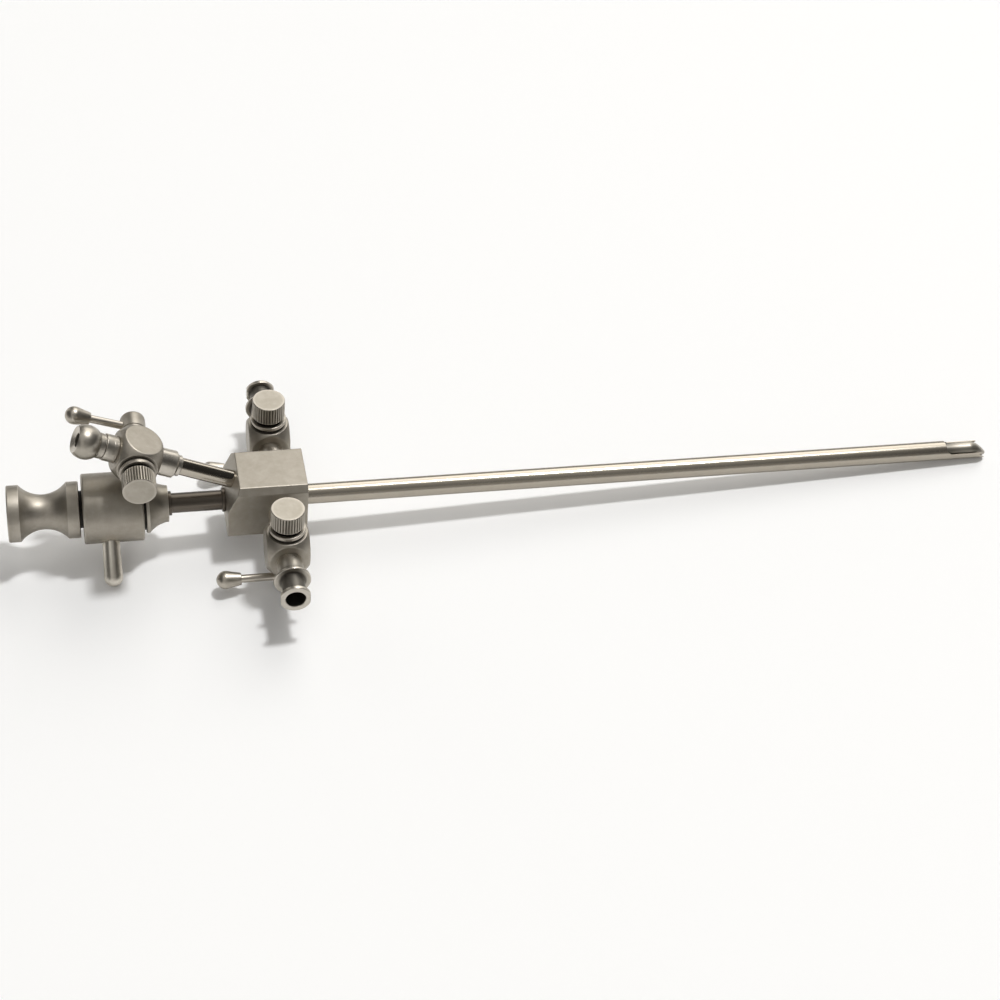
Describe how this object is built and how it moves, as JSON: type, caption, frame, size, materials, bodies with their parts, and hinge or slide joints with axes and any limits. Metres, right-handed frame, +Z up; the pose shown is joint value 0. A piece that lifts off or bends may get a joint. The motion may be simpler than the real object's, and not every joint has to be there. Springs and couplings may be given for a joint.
{
  "type": "cystoscope sheath",
  "caption": "Steel cystoscope sheath with cut-away beak, hub block with side stopcock ports, tilted working channel, lock ring and a withdrawable obturator.",
  "frame": {"origin": "on the axis of the long tube, where the tube leaves the distal face of the hub block", "axes": "+X along the long tube towards its tip, +Z up towards the caps of the side stopcocks, +Y towards the rear port"},
  "size_m": [0.3334, 0.0986, 0.052],
  "materials": {
    "satin_steel": "bead-blasted satin stainless steel",
    "polished_steel": "finely polished stainless steel",
    "knurled_steel": "turned stainless steel with a straight knurl",
    "spring_steel": "plain spring steel",
    "seal_rubber": "matt sealing rubber"
  },
  "bodies": {
    "sheath": {"sheath_tube": "polished_steel", "hub_block": "satin_steel", "proximal_tube": "polished_steel", "neck_joint_ring": "satin_steel", "block_joint_ring": "satin_steel", "lock_neck": "satin_steel", "lock_core": "satin_steel", "lock_seal": "seal_rubber", "lock_retainer": "satin_steel", "front_cock_body": "satin_steel", "front_stub": "satin_steel", "front_port": "satin_steel", "rear_cock_body": "satin_steel", "rear_stub": "satin_steel", "rear_port": "satin_steel", "channel_tube": "polished_steel", "channel_seat_ring": "satin_steel", "channel_sleeve": "satin_steel", "channel_cock_body": "satin_steel", "channel_coupling": "satin_steel", "channel_port": "satin_steel"},
    "lock_ring": {"lock_ring": "satin_steel", "lock_pin": "polished_steel"},
    "obturator": {"obturator_handle": "satin_steel", "obturator_latch": "satin_steel", "obturator_rod": "polished_steel", "obturator_tip": "polished_steel"},
    "front_stopcock": {"front_plug": "satin_steel", "front_lever": "polished_steel", "front_knob": "polished_steel", "front_cap": "knurled_steel", "front_washer": "spring_steel"},
    "rear_stopcock": {"rear_plug": "satin_steel", "rear_lever": "polished_steel", "rear_knob": "polished_steel", "rear_cap": "knurled_steel", "rear_washer": "spring_steel"},
    "channel_stopcock": {"channel_plug": "satin_steel", "channel_lever": "polished_steel", "channel_knob": "polished_steel", "channel_cap": "knurled_steel", "channel_washer": "spring_steel"}
  },
  "joints": [
    {"name": "obturator_slide", "type": "slide", "parent": "sheath", "child": "obturator", "axis": [-1, 0, 0], "range_m": [0, 0.315]},
    {"name": "lock_ring_turn", "type": "hinge", "parent": "sheath", "child": "lock_ring", "pos_m": [-0.0627, 0, 0], "axis": [1, 0, 0], "range_deg": [-50, 0]},
    {"name": "front_stopcock_turn", "type": "hinge", "parent": "sheath", "child": "front_stopcock", "pos_m": [-0.0087, -0.0258, 0.002], "axis": [0, 0, 1], "range_deg": [0, 90]},
    {"name": "rear_stopcock_turn", "type": "hinge", "parent": "sheath", "child": "rear_stopcock", "pos_m": [-0.0087, 0.0258, 0.002], "axis": [0, 0, 1], "range_deg": [-90, 0]},
    {"name": "channel_stopcock_turn", "type": "hinge", "parent": "sheath", "child": "channel_stopcock", "pos_m": [-0.0535, 0, 0.02205], "axis": [0, 1, 0], "range_deg": [0, 93.2]}
  ]
}
